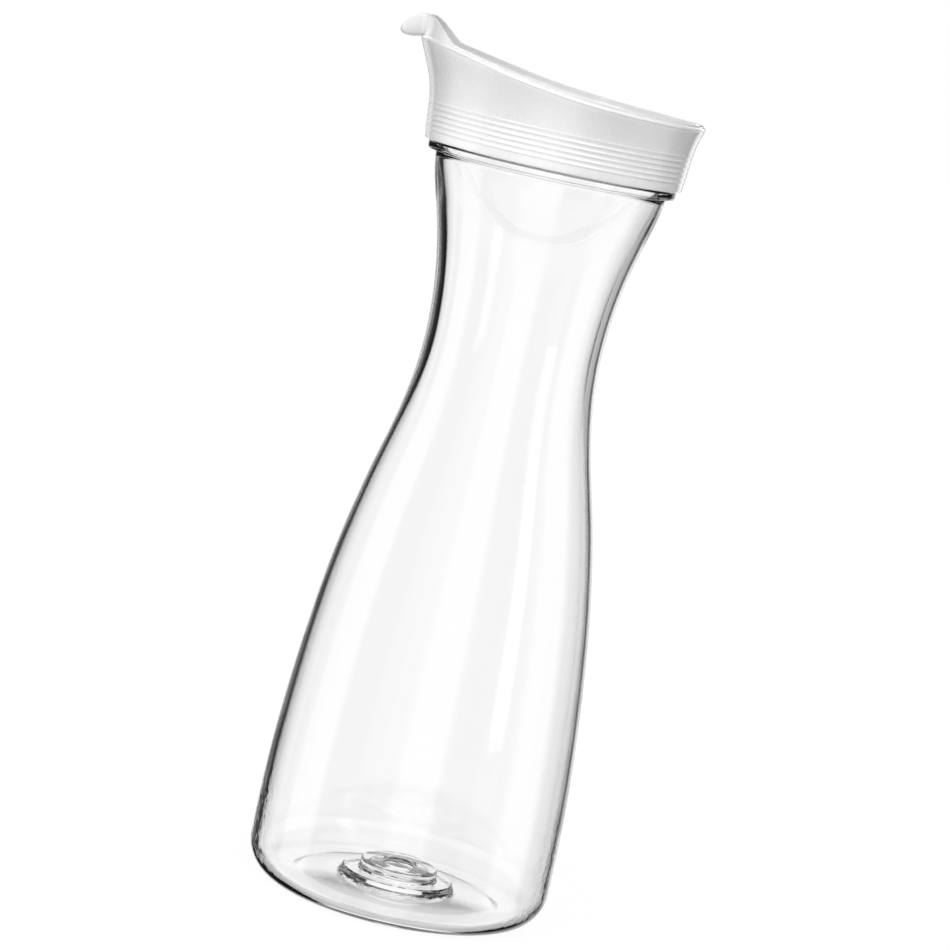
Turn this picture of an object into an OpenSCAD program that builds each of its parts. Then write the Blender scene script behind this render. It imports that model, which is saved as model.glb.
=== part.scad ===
// Clear hourglass decanter with a white press-on lid that has a bird-beak pouring lip.
// Millimetres. The origin is the centre of the foot, on the table. +Z is up, and the beak points to -X.

/* [Bottle body] */
// Diameter of the body at its widest, just above the heel
body_d = 97; // [90:0.5:104]
// Width of the rounded heel, seen from above
heel_run = 9.8; // [7:0.1:12]
// Height of the rounded heel
heel_rise = 11; // [8:0.1:14]
// Width of the heel's rounded inner corner
inner_heel_run = 7.4; // [5:0.1:9]
// Height up to which the body stays straight
straight_z = 20; // [16:0.5:30]
// Diameter at the belly station
belly_d = 88.4; // [84:0.5:93]
// Height of the belly station
belly_z = 86; // [76:0.5:96]
// Inward lean of the wall at the belly station
belly_lean = 0.115; // [0.05:0.005:0.2]
// Diameter where the body narrows fastest
hip_d = 67.3; // [62:0.5:72]
// Height where the body narrows fastest
hip_z = 141.5; // [132:0.5:150]
// Inward lean of the wall at that height
hip_lean = 0.266; // [0.2:0.005:0.32]
// Diameter of the waist
waist_d = 55.5; // [50:0.5:60]
// Height of the waist
waist_z = 180.2; // [172:0.5:188]
// Diameter where the neck widens fastest
throat_d = 65.8; // [62:0.5:69]
// Height where the neck widens fastest
throat_z = 218; // [211:0.5:224]
// Outward lean of the wall at that height
throat_lean = 0.284; // [0.2:0.005:0.34]
// Diameter of the neck under its flange
neck_d = 73; // [71:0.5:76]
// Height of the neck under its flange
neck_z = 234.5; // [231:0.5:242]
// Outward lean of the wall under the flange
neck_lean = 0.08; // [0:0.01:0.2]

/* [Bottle wall] */
// Wall thickness of the straight part
wall_straight = 2.1; // [1.6:0.1:3]
// Wall thickness at the belly
wall_belly = 1.7; // [1.3:0.1:2.5]
// Wall thickness where the body narrows fastest
wall_hip = 1.7; // [1.3:0.1:2.5]
// Wall thickness at the waist
wall_waist = 3.2; // [2:0.1:4]
// Wall thickness where the neck widens fastest
wall_throat = 3.1; // [2:0.1:4]
// Wall thickness of the neck under its flange
wall_neck = 2.4; // [2:0.1:3]

/* [Bottle base] */
// Thickness of the floor next to the foot
floor_t = 2.8; // [2:0.1:4]
// Width of the flat ring that the bottle stands on
foot_w = 4; // [3:0.1:6]
// Height of the hollow dome under the floor
push_up = 2.6; // [1:0.1:4]
// Radius at which the floor starts to rise
dome_r = 32; // [28:0.5:34]
// Rise of the floor's dome inside the bottle
dome_rise = 3.5; // [2:0.1:5]
// Radius of the wide step round the centre
step_r = 18; // [16:0.5:22]
// Height of the wide step above the dome's top
step_h = 0.7; // [0.4:0.1:1.5]
// Radius of the raised centre
boss_r = 12.4; // [10:0.2:14]
// Height of the raised centre above the wide step
boss_h = 3.2; // [2:0.1:4]
// Radius of the dimple in the raised centre
dimple_r = 5.4; // [4:0.1:7]
// Depth of the dimple
dimple_h = 0.8; // [0.4:0.1:1.5]
// Floor thickness over the hollow under the raised centre
boss_t = 3; // [2:0.1:3.6]

/* [Bottle mouth] */
// How far the flange stands out from the neck
flange_reach = 2.8; // [2:0.1:3.4]
// Thickness of the flange at its edge
flange_t = 2.4; // [1.8:0.1:3]
// Radius of the fillet under the flange
flange_fillet = 0.5; // [0.3:0.1:1.2]
// Rounding of the flange's edge
flange_round = 0.8; // [0.4:0.1:0.8]
// Height of the plain mouth above the flange
mouth_h = 12.4; // [11:0.1:16]
// Wall thickness of the mouth
mouth_wall = 2.4; // [2:0.1:3]
// Rounding of the mouth's top edge
mouth_round = 0.8; // [0.4:0.1:0.9]

/* [Lid wall] */
// Gap between the flange and the lid's skirt
skirt_gap = 0.5; // [0.3:0.05:0.8]
// How far the skirt's foot stands out from the flange
skirt_reach = 1.4; // [1:0.1:2]
// Wall thickness of the lid
lid_wall = 1.8; // [1.5:0.1:2.2]
// Outward lean of the skirt
skirt_lean = 0.09; // [0.05:0.01:0.12]
// Rounding of the skirt's foot
foot_round = 0.4; // [0.2:0.1:0.6]
// Height above the skirt's foot at which the flare starts
flare_z = 10; // [9:0.5:11]
// Radius of the flare's curve
flare_r = 38; // [32:1:44]
// Angle of the flare at the rim, from upright
flare_angle = 24.5; // [21:0.5:28]
// Height above the skirt's foot to which the flare reaches
flare_top_z = 34; // [33:0.5:36]
// Number of grip ribs
rib_count = 5; // [3:1:5]
// Height of the lowest rib above the skirt's foot
rib_z = 4.9; // [4:0.1:6]
// Distance from rib to rib
rib_pitch = 1.65; // [1.4:0.05:2]
// Width of a rib
rib_w = 0.9; // [0.6:0.1:1]
// How far a rib stands out
rib_h = 0.2; // [0.1:0.05:0.4]

/* [Lid rim and beak] */
// Height of the rim above the skirt's foot at the back
rim_back_z = 21.3; // [20.7:0.1:22]
// Height of the rim a little behind the middle
rim_mid_z = 22.9; // [22.5:0.1:23.5]
// Height of the rim before the middle
rim_fore_z = 26.4; // [25.8:0.1:27]
// Height of the rim where it turns up to the crown
rim_turn_z = 29.4; // [28.8:0.1:30]
// Height of the rim line where it runs into the beak
rim_front_z = 31.6; // [31:0.1:32.2]
// Height of the beak's crown
crown_z = 37.1; // [36:0.1:38.5]
// Height of the rim's rounded outer edge
lip_h = 1; // [0.8:0.1:1.2]
// How far the rim's edge is drawn in by its rounding
lip_set = 0.8; // [0.5:0.1:1]
// Height of the rim's plain top edge above the rounding
edge_h = 0.4; // [0.3:0.05:0.6]
// Thickness of the rim's top edge
edge_t = 1.1; // [0.9:0.1:1.2]
// How far the beak reaches out from the lid's wall
beak_reach = 6.7; // [5.5:0.1:7.5]
// Width of the beak at half its reach
beak_w = 14; // [12:0.5:16]
// How far the beak's chin hangs below the wall's crease line
chin_drop = 1.1; // [0.6:0.1:1.6]
// How far the chin swells out past the tip
chin_swell = 0.3; // [0:0.1:0.6]
// How far the beak's rim falls from the crown to the tip, if it ran upright at its end
tip_drop = 7.4; // [6.8:0.1:8]
// Wall thickness of the beak
beak_wall = 1.3; // [1.1:0.1:1.5]
// Height to which the beak's floor humps over the lid's wall
floor_hump = 3.4; // [3:0.1:3.8]
// How far the beak's floor dips behind the tip
floor_dip = 0.8; // [0.5:0.1:1]

/* [Lid deck and plug] */
// Gap between the mouth and the deck that rests on it
seat_gap = 0.1; // [0.05:0.05:0.2]
// Thickness of the deck
deck_t = 1.8; // [1.4:0.1:2.2]
// Gap between the plug and the bottle's bore
plug_gap = 0.6; // [0.5:0.1:0.9]
// Wall thickness of the plug
plug_wall = 1.8; // [1.6:0.1:2.4]
// Length of the plug below the deck
plug_h = 9.5; // [8:0.5:12]
// Rounding of the plug's lower edge
plug_round = 0.6; // [0.3:0.1:0.8]
// Distance of the pouring opening from the plug's wall
opening_margin = 2.4; // [2:0.1:4]
// Distance of the pouring opening's straight side from the lid's axis
opening_x = 9; // [4:0.5:14]
// Diameter of the air hole at the back
vent_d = 4; // [3:0.5:6]

/* [Seal ring] */
// Height of the seal ring
seal_h = 4; // [3:0.1:5]
// Height of the seal ring's groove above the plug's lower end
seal_z = 2.2; // [1.5:0.1:3]
// Depth of the groove in the plug
groove_depth = 0.8; // [0.5:0.1:0.8]
// Number of lips on the ring
seal_lips = 3; // [2:1:3]
// Thickness of the ring between its lips
seal_t = 0.7; // [0.5:0.1:0.8]
// Running clearance of the ring in its groove and in the bore
fit_gap = 0.05; // [0.02:0.01:0.08]

/* [Hidden] */

$fn = 180;
// Overrun of every cut past the surface that it opens
over = 1;
// Points on each stretch of the bottle's long curves
curve_steps = 9;
// Points on each small round
round_steps = 5;

// Bottle heights and radii worked out from the driving sizes
foot_r = body_d / 2 - heel_run;
foot_in_r = foot_r - foot_w;
bore_r = neck_d / 2 - wall_neck;
mouth_r = bore_r + mouth_wall;
flange_r = neck_d / 2 + flange_reach;
flange_under_z = neck_z + flange_fillet;
flange_top_z = flange_under_z + flange_t;
mouth_z = flange_top_z + mouth_h;
step_z = floor_t + dome_rise + step_h;
boss_z = step_z + boss_h;
hollow_r = boss_r - boss_t;

// Lid heights and radii
foot_z = flange_top_z + skirt_gap;
skirt_r = flange_r + skirt_reach;
skirt_in_r = skirt_r - lid_wall;
skirt_angle = atan(skirt_lean);
deck_z = mouth_z + seat_gap;
deck_top_z = deck_z + deck_t;
plug_r = bore_r - plug_gap;
plug_in_r = plug_r - plug_wall;
plug_z = deck_z - plug_h;
groove_r = plug_r - groove_depth;
groove_z = plug_z + seal_z;
seal_in_r = groove_r + fit_gap;
seal_out_r = bore_r - fit_gap;
opening_r = plug_in_r - opening_margin;
vent_x = (plug_in_r + opening_x) / 2;

// Shape of the rim
// Rim stations on the way to the front, as shares of the skirt's radius
rim_shares = [-1.3, -0.12, 0.49, 0.87, 1.3];
// Slope of the rim at each station
rim_slopes = [0, 0.09, 0.19, 0.2, 0.05];
// Place of the crown, as a share of the skirt's radius
crown_share = 1.14;
// Place and height of the steepest point of the rise to the crown, as shares of the rise
rise_share = 0.46;
rise_height_share = 0.5;
// Slope of the rim where it leaves for the crown, and at that steepest point
turn_slope = 0.3;
rise_slope = 0.9;
// Run of the rim's fall to the tip, as a share of the way from the crown to the tip
tip_run_share = 1.024;
// Place of the chin's and the floor's control points, as shares of the beak's reach
chin_share = 0.48;
floor_share = 0.43;
// Share of the rim's rounding that fades into the beak
fade_share = 0.8;
// Steepness of the beak's sides seen from above
beak_power = 6;

// How the rim's moulding sits in the wall that it grows from
// Inset from the wall's outer face
inset_out = 0.12;
// Inset from the wall's inner face
inset_in = 0.35;
// Depth to which it reaches into the wall
embed = 0.6;
// Height of its first edge above the wall
root_h = 0.15;
// Number of sections round the rim, and the share of their spacing that grows away from the beak
rim_sections = 104;
spread_share = 0.86;
// Steps of the section's outer and inner curve
outer_steps = 4;
inner_steps = 4;

// Cubic through two stations [place, value, slope]
function between(a, b, x) =
    let (h = b[0] - a[0], t = (x - a[0]) / h)
    (2 * t ^ 3 - 3 * t ^ 2 + 1) * a[1] + (t ^ 3 - 2 * t ^ 2 + t) * h * a[2]
    + (3 * t ^ 2 - 2 * t ^ 3) * b[1] + (t ^ 3 - t ^ 2) * h * b[2];

// Smooth curve through a list of stations, read at x
function through(stations, x, i = 0) =
    i >= len(stations) - 2 || x <= stations[i + 1][0]
    ? between(stations[i], stations[i + 1], x)
    : through(stations, x, i + 1);

// Places along the stations after the first, n on each stretch
function places(stations, n) =
    [for (i = [0 : len(stations) - 2]) for (k = [1 : n])
        stations[i][0] + (stations[i + 1][0] - stations[i][0]) * k / n];

// Elliptic arc round a centre, from one angle to another
function arc(centre, rx, rz, from, to, n) =
    [for (i = [0 : n]) let (a = from + (to - from) * i / n)
        [centre[0] + rx * cos(a), centre[1] + rz * sin(a)]];

// Dome of a given rise over a radius, from one radius to another
function dome(base_z, rise, r, from, to, n) =
    [for (i = [0 : n]) let (q = from + (to - from) * i / n)
        [q, base_z + rise * (1 - (q / r) ^ 2)]];

function reversed(list) = [for (i = [len(list) - 1 : -1 : 0]) list[i]];

// Outside of the bottle's wall, and its thickness
outer_stations = [
    [heel_rise, body_d / 2, 0],
    [straight_z, body_d / 2, 0],
    [belly_z, belly_d / 2, -belly_lean],
    [hip_z, hip_d / 2, -hip_lean],
    [waist_z, waist_d / 2, 0],
    [throat_z, throat_d / 2, throat_lean],
    [neck_z, neck_d / 2, neck_lean]];
wall_stations = [
    [heel_rise, wall_straight, 0],
    [straight_z, wall_straight, 0],
    [belly_z, wall_belly, 0],
    [hip_z, wall_hip, 0],
    [waist_z, wall_waist, 0],
    [throat_z, wall_throat, 0],
    [neck_z, wall_neck, 0]];
body_places = places(outer_stations, curve_steps);

function bottle_outside() = concat(
    [[0, boss_z - boss_t], [hollow_r, boss_z - boss_t]],
    dome(0, push_up, foot_in_r, hollow_r, foot_in_r, round_steps),
    arc([foot_r, heel_rise], heel_run, heel_rise, -90, 0, 2 * round_steps),
    [for (z = body_places) [through(outer_stations, z), z]],
    arc([neck_d / 2 + flange_fillet, neck_z], flange_fillet, flange_fillet, 180, 90, round_steps),
    arc([flange_r - flange_round, flange_under_z + flange_round],
        flange_round, flange_round, -90, 0, round_steps),
    [[flange_r, flange_top_z], [mouth_r, flange_top_z]],
    arc([mouth_r - mouth_round, mouth_z - mouth_round], mouth_round, mouth_round, 0, 90, round_steps));

function bottle_inside() = concat(
    [[0, boss_z - dimple_h], [dimple_r - dimple_h, boss_z - dimple_h], [dimple_r, boss_z]],
    [[boss_r - dimple_h, boss_z], [boss_r, boss_z - dimple_h], [boss_r, step_z], [step_r, step_z]],
    dome(floor_t, dome_rise, dome_r, step_r, dome_r, round_steps),
    arc([body_d / 2 - wall_straight - inner_heel_run, heel_rise],
        inner_heel_run, heel_rise - floor_t, -90, 0, 2 * round_steps),
    [for (z = body_places) [through(outer_stations, z) - through(wall_stations, z), z]],
    arc([bore_r + mouth_round, mouth_z - mouth_round], mouth_round, mouth_round, 180, 90, round_steps));

module bottle() {
    color([0.86, 0.9, 0.92, 0.35])
    rotate_extrude()
    polygon(concat(bottle_outside(), reversed(bottle_inside())));
}

// Sleeve in the plug's groove, with lips that wipe the bore
module seal_ring() {
    low = groove_z + fit_gap;
    step = (seal_h - 2 * fit_gap) / (2 * seal_lips);
    color([0.8, 0.82, 0.84])
    rotate_extrude()
    polygon(concat(
        [[seal_in_r, low]],
        [for (i = [0 : 2 * seal_lips])
            [i % 2 == 0 ? seal_in_r + seal_t : seal_out_r, low + i * step]],
        [[seal_in_r, low + 2 * seal_lips * step]]));
}

// Radius of the lid's outer face at a height above the skirt's foot
flare_start_r = skirt_r + skirt_lean * flare_z;
flare_end_r = flare_start_r + flare_r * (cos(skirt_angle) - cos(flare_angle));
flare_end_z = flare_z + flare_r * (sin(flare_angle) - sin(skirt_angle));
function lid_r(h) =
    h <= flare_z ? skirt_r + skirt_lean * h
    : h <= flare_end_z
        ? let (a = asin(sin(skirt_angle) + (h - flare_z) / flare_r))
          flare_start_r + flare_r * (cos(skirt_angle) - cos(a))
        : flare_end_r + (h - flare_end_z) * tan(flare_angle);

// Height of the top rib's upper edge above the skirt's foot
rib_top_z = rib_z + (rib_count - 1) * rib_pitch + rib_w / 2;

// One rib's outline, standing on the leaning skirt
function rib_outline(i) =
    let (h = rib_z + i * rib_pitch)
    [[lid_r(h - rib_w / 2), h - rib_w / 2],
     [lid_r(h) + rib_h, h - rib_w / 6],
     [lid_r(h) + rib_h, h + rib_w / 6],
     [lid_r(h + rib_w / 2), h + rib_w / 2]];

function flare_heights() = concat(
    [for (i = [0 : 2 * round_steps]) flare_z + (flare_end_z - flare_z) * i / (2 * round_steps)],
    [flare_top_z]);

function lid_outside() = concat(
    [[skirt_in_r, 0], [skirt_r - foot_round, 0], [lid_r(foot_round), foot_round]],
    [for (i = [0 : rib_count - 1]) each rib_outline(i)],
    [for (h = flare_heights()) if (h > rib_top_z) [lid_r(h), h]]);

function lid_inside() = concat(
    [for (h = reversed(flare_heights())) if (h > deck_top_z - foot_z) [lid_r(h) - lid_wall, h]],
    [[lid_r(deck_top_z - foot_z) - lid_wall, deck_top_z - foot_z], [0, deck_top_z - foot_z]]);

function plug_outline() = concat(
    [[0, deck_z], [plug_in_r, deck_z], [plug_in_r, plug_z]],
    [[plug_r - plug_round, plug_z], [plug_r, plug_z + plug_round]],
    [[plug_r, groove_z], [groove_r, groove_z], [groove_r, groove_z + seal_h], [plug_r, groove_z + seal_h]],
    [[plug_r, deck_z], [skirt_in_r, deck_z]]);

// Height of the rim line above the skirt's foot, at a distance q towards the beak
rim_heights = [rim_back_z, rim_mid_z, rim_fore_z, rim_turn_z, rim_front_z];
rim_stations = [for (i = [0 : len(rim_shares) - 1]) [rim_shares[i] * skirt_r, rim_heights[i], rim_slopes[i]]];
function rim_line(q) = through(rim_stations, q);
function rim_crease(q) = rim_line(q) - lip_h - edge_h;

// Radius and height of the crease under the rim, in the direction a from the front
function crease(a, r = skirt_r, turns = 8) =
    turns == 0 ? [r, rim_crease(r * cos(a))] : crease(a, lid_r(rim_crease(r * cos(a))), turns - 1);

// Height of the rim's top edge, with its rise to the crown and its fall to the beak's tip
turn_q = rim_shares[3] * skirt_r;
crown_q = crown_share * skirt_r;
tip_run = (crease(0)[0] + beak_reach - crown_q) * tip_run_share;
rise_stations = [
    [turn_q, rim_turn_z, turn_slope],
    [turn_q + (crown_q - turn_q) * rise_share,
     rim_turn_z + (crown_z - rim_turn_z) * rise_height_share, rise_slope],
    [crown_q, crown_z, 0]];
function rim_top(q) =
    q <= turn_q ? rim_line(q)
    : q <= crown_q ? through(rise_stations, q)
    : crown_z - tip_drop * (1 - sqrt(max(0, 1 - ((q - crown_q) / tip_run) ^ 2)));

// How much of the beak's reach a direction has: 1 at the front, 0 away from the beak
beak_angle = atan(beak_w / 2 / (crown_q + beak_reach));
beak_in_angle = beak_angle - atan(beak_wall / (crown_q + beak_reach));
function beak_weight(a, half) = 1 / (1 + (abs(a) / half) ^ beak_power);

// Point of a cubic with four control points
function bezier(p, t) =
    (1 - t) ^ 3 * p[0] + 3 * t * (1 - t) ^ 2 * p[1] + 3 * t ^ 2 * (1 - t) * p[2] + t ^ 3 * p[3];

// Closed section [radius, height] of the rim's moulding in the direction a from the front
function rim_section(a) =
    let (
        w = beak_weight(a, beak_angle),
        v = beak_weight(a, beak_in_angle),
        c = crease(a),
        face_r = c[0] - inset_out,
        fade = 1 - fade_share * w,
        root = [face_r, c[1] + root_h],
        ridge = [face_r - lip_set * fade, c[1] + lip_h * fade],
        tip_r = face_r - lip_set * fade + (lip_set * fade + beak_reach) * w,
        tip = [tip_r, max(rim_top(tip_r * cos(a)), ridge[1] + edge_h)],
        rise = tip[1] - ridge[1],
        top_r = face_r - lip_set - edge_t + (lip_set + edge_t + beak_reach - beak_wall) * v,
        top_z = max(rim_top(top_r * cos(a)), ridge[1] + edge_h) * (1 - v) + tip[1] * v,
        foot = [c[0] - lid_wall + inset_in, c[1] - embed],
        fall = top_z - foot[1],
        out_curve = [ridge,
            ridge + [w * beak_reach * chin_share, (1 - w) * rise / 3 - w * chin_drop],
            tip + [w * chin_swell, (w - 1) * rise / 3 - w * (chin_drop + rise)],
            tip],
        in_curve = [[top_r, top_z],
            [top_r - v * beak_reach * floor_share, top_z - (1 - v) * fall / 3 - v * floor_dip],
            foot + [0, (1 - v) * fall / 3 + v * floor_hump],
            foot])
    concat(
        [[face_r, c[1] - embed], root],
        [ridge + [lip_set * fade * (1 - sin(45)), -lip_h * fade * (1 - sin(45))]],
        [for (k = [0 : outer_steps]) bezier(out_curve, k / outer_steps)],
        [for (k = [0 : inner_steps]) bezier(in_curve, k / inner_steps)]);

// The rim's moulding: sections all round, closest together at the beak
function section_angle(i) =
    let (u = 2 * i / rim_sections - 1)
    180 * (spread_share * u ^ 3 + (1 - spread_share) * u);

module rim() {
    sections = [for (i = [0 : rim_sections - 1]) rim_section(section_angle(i))];
    n = len(sections[0]);
    points = [for (i = [0 : rim_sections - 1]) for (p = sections[i])
        [-p[0] * cos(section_angle(i)), p[0] * sin(section_angle(i)), p[1]]];
    faces = [for (i = [0 : rim_sections - 1]) for (j = [0 : n - 1])
        let (a = i * n + j, b = i * n + (j + 1) % n,
            c = ((i + 1) % rim_sections) * n + (j + 1) % n, d = ((i + 1) % rim_sections) * n + j)
        each [[a, c, b], [a, d, c]]];
    polyhedron(points, faces);
}

// Everything above the crease line, as seen from the side
module above_crease() {
    front = rim_shares[len(rim_shares) - 1] * skirt_r;
    back = rim_shares[0] * skirt_r;
    steps = 4 * curve_steps;
    rotate([90, 0, 0])
    linear_extrude(2 * (lid_r(flare_top_z) + over), center = true)
    polygon(concat(
        [for (i = [0 : steps]) let (q = back + (front - back) * i / steps) [-q, rim_crease(q)]],
        [[-front, flare_top_z + over], [-back, flare_top_z + over]]));
}

// D-shaped pouring opening on the beak's side of the deck, and an air hole behind
module deck_openings() {
    linear_extrude(deck_t + 2 * over)
    difference() {
        circle(opening_r);
        translate([-opening_x, -opening_r - over]) square(2 * opening_r + 2 * over);
    }
    translate([vent_x, 0, 0]) cylinder(d = vent_d, h = deck_t + 2 * over);
}

module lid() {
    color([0.95, 0.96, 0.97]) {
        difference() {
            rotate_extrude()
            polygon(concat(
                plug_outline(),
                [for (p = lid_outside()) p + [0, foot_z]],
                [for (p = lid_inside()) p + [0, foot_z]]));
            translate([0, 0, foot_z]) above_crease();
            translate([0, 0, deck_z - over]) deck_openings();
        }
        translate([0, 0, foot_z]) rim();
    }
}

bottle();
lid();
seal_ring();
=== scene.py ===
import math

import bpy
from mathutils import Matrix, Vector


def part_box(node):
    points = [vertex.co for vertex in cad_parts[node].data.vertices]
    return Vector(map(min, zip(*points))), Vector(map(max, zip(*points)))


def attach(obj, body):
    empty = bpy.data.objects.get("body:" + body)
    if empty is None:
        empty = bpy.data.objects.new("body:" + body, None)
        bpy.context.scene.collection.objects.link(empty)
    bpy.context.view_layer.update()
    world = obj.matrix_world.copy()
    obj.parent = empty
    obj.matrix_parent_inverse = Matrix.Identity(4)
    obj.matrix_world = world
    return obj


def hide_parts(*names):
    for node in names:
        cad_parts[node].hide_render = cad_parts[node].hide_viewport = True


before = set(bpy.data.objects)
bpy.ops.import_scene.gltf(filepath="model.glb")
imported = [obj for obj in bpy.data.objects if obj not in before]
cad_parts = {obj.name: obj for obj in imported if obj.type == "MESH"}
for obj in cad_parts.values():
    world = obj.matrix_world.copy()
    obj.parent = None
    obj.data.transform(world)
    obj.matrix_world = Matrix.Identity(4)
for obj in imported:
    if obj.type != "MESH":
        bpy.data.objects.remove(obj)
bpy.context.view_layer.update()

# A clear hourglass decanter with a white push-on lid.
# Sizes are in millimetres, as on a drawing, and meshes are made in metres.
MM = 0.001

# Bottle: heights and radii of the clear body
BODY_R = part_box("bottle")[1].x / MM
MOUTH_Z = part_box("bottle")[1].z / MM
HEEL_RUN, HEEL_RISE, INNER_HEEL_RUN = 9.8, 11.0, 7.4
STRAIGHT_Z = 20.0
NECK_R, NECK_Z = 36.5, 234.5
# Each station: height, radius, lean of the wall
OUTSIDE = [
    (HEEL_RISE, BODY_R, 0.0),
    (STRAIGHT_Z, BODY_R, 0.0),
    (86.0, 44.2, -0.115),
    (141.5, 33.65, -0.266),
    (180.2, 27.75, 0.0),
    (218.0, 32.9, 0.284),
    (NECK_Z, NECK_R, 0.08),
]
# Each station: height, wall thickness, its change
WALL = [
    (HEEL_RISE, 2.1, 0.0),
    (STRAIGHT_Z, 2.1, 0.0),
    (86.0, 1.7, 0.0),
    (141.5, 1.7, 0.0),
    (180.2, 3.2, 0.0),
    (218.0, 3.1, 0.0),
    (NECK_Z, 2.4, 0.0),
]
FLOOR_T, FOOT_W, PUSH_UP = 2.8, 4.0, 2.6
DOME_R, DOME_RISE = 32.0, 3.5
STEP_R, STEP_H = 18.0, 0.7
BOSS_R, BOSS_H, BOSS_T = 12.4, 3.2, 3.0
DIMPLE_R, DIMPLE_H = 5.4, 0.8
BASE_CORNER, BOSS_CORNER, BLEND_RUN = 0.7, 0.9, 2.0
FLANGE_REACH, FLANGE_T, FLANGE_FILLET, FLANGE_ROUND, FLANGE_EDGE = 2.8, 2.4, 0.5, 0.8, 0.3
MOUTH_WALL, MOUTH_ROUND = 2.4, 0.8

FOOT_R = BODY_R - HEEL_RUN
STEP_Z = FLOOR_T + DOME_RISE + STEP_H
BOSS_Z = STEP_Z + BOSS_H
BORE_R = NECK_R - MOUTH_WALL
FLANGE_R = NECK_R + FLANGE_REACH
FLANGE_UNDER_Z = NECK_Z + FLANGE_FILLET
FLANGE_TOP_Z = FLANGE_UNDER_Z + FLANGE_T

# Lid: heights are above the foot of its skirt
SKIRT_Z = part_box("lid")[0].z / MM
SKIRT_REACH, SKIRT_LEAN, LID_WALL = 1.4, 0.09, 1.8
SKIRT_R = FLANGE_R + SKIRT_REACH
FLARE_Z, FLARE_R, FLARE_ANGLE = 10.0, 38.0, math.radians(24.5)
RIB_COUNT, RIB_Z, RIB_PITCH, RIB_W, RIB_H = 6, 3.25, 1.65, 1.25, 0.22
TOP_RIB_SHARE = 0.5
# The deck's gap over the mouth, and the plug's inside the bore
DECK_GAP, BORE_GAP = 0.1, 0.6
DECK_Z, DECK_T = MOUTH_Z + DECK_GAP - SKIRT_Z, 1.8
PLUG_R, PLUG_WALL, PLUG_H = BORE_R - BORE_GAP, 1.8, 9.5
GROOVE_Z, GROOVE_H, GROOVE_DEPTH = 2.2, 4.0, 0.8
# Pouring opening and air hole: the opening's rim inside the plug, its straight side's place, its corners
OPENING_RIM, OPENING_X, OPENING_CORNER = 2.4, 9.0, 2.0
OPENING_R = PLUG_R - PLUG_WALL - OPENING_RIM
VENT_R, VENT_STEPS = 2.0, 48
CUTTER_REACH, SHARP_ANGLE = 1, math.radians(40)

# Rim of the lid: share of the skirt's radius towards the beak, height, slope
RIM = [(q * SKIRT_R, h, slope) for q, h, slope in (
    (-1.3, 21.3, 0.0), (-0.12, 22.9, 0.09), (0.49, 26.4, 0.19), (0.87, 29.4, 0.2), (1.3, 31.6, 0.05))]
LIP_H, LIP_SET, EDGE_H, EDGE_T = 1.0, 0.8, 0.4, 1.1
CROWN_Q, CROWN_H = 1.14 * SKIRT_R, 37.1
TURN_Q, TURN_H, TURN_SLOPE = RIM[3][0], RIM[3][1], 0.3
# Where the rise is half done, its slope there, and the tip's curve as a share of its run
RISE_SHARE, RISE_SLOPE, TIP_SHARE = 0.46, 0.9, 1.024
BEAK_REACH, BEAK_W, BEAK_WALL = 6.7, 14.0, 1.3
CHIN_DROP, CHIN_SWELL, TIP_DROP = 1.1, 0.3, 7.4
FLOOR_HUMP, FLOOR_DIP = 3.4, 0.8
CHIN_SHARE, FLOOR_SHARE, FADE_SHARE, BEAK_POWER = 0.48, 0.43, 0.8, 6
# Shallow cove under the lip: height from the crease, depth
COVE = ((-0.9, 0.02), (-0.6, 0.07), (-0.3, 0.13), (-0.1, 0.15), (0.0, 0.1), (0.08, 0.03))
# Distances from the crease up to the lip's foot, and down to the plain wall's end and to the foot of the
# rim's inner curve
LIP_FOOT, WALL_GAP, INNER_FOOT = 0.15, 1.2, 0.6
# Rounding of the lid's corners and of its rim's edge, which begins and ends at these shares of the curves
LID_CORNER, EDGE_CORNER, EDGE_BEGIN, EDGE_END = 0.4, 0.35, 0.94, 0.04
# How far over the flare's start the ribbed steps go on, the recess's corner, and the deck's inner rings
RIBBED_RUN, BASIN_CORNER, BASIN_LEAN, DECK_RINGS = 3, 1.2, 0.09, (30.0, 15.0, 0.0)
# Sections round the lid, and how much closer they stand at the beak
SECTIONS, SPREAD_SHARE = 420, 0.8


def between(a, b, x):
    """Cubic through two stations (place, value, slope)."""
    h = b[0] - a[0]
    t = (x - a[0]) / h
    return ((2 * t**3 - 3 * t**2 + 1) * a[1] + (t**3 - 2 * t**2 + t) * h * a[2]
            + (3 * t**2 - 2 * t**3) * b[1] + (t**3 - t**2) * h * b[2])


def through(stations, x):
    """Smooth curve through the stations, read at x."""
    for a, b in zip(stations, stations[1:]):
        if x <= b[0] or b is stations[-1]:
            return between(a, b, x)


def spread(low, high, steps):
    """Evenly spaced values from low to high."""
    return [low + (high - low) * i / steps for i in range(steps + 1)]


def arc(centre, rx, rz, start, stop, steps):
    """Elliptic arc round a centre, in degrees."""
    return [(centre[0] + rx * math.cos(math.radians(a)), centre[1] + rz * math.sin(math.radians(a)))
            for a in spread(start, stop, steps)]


def soften(corners, cut, steps=4):
    """Rounds each inner corner of an open outline by cutting back at most `cut` on both sides."""
    points = [corners[0]]
    for before, here, after in zip(corners, corners[1:], corners[2:]):
        here_v = Vector(here)
        back, on = Vector(before) - here_v, Vector(after) - here_v
        start = here_v + back.normalized() * min(cut, back.length * 0.45)
        end = here_v + on.normalized() * min(cut, on.length * 0.45)
        for t in spread(0, 1, steps):
            p = start * (1 - t) ** 2 + here_v * 2 * t * (1 - t) + end * t**2
            points.append((p.x, p.y))
    return points + [corners[-1]]


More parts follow.
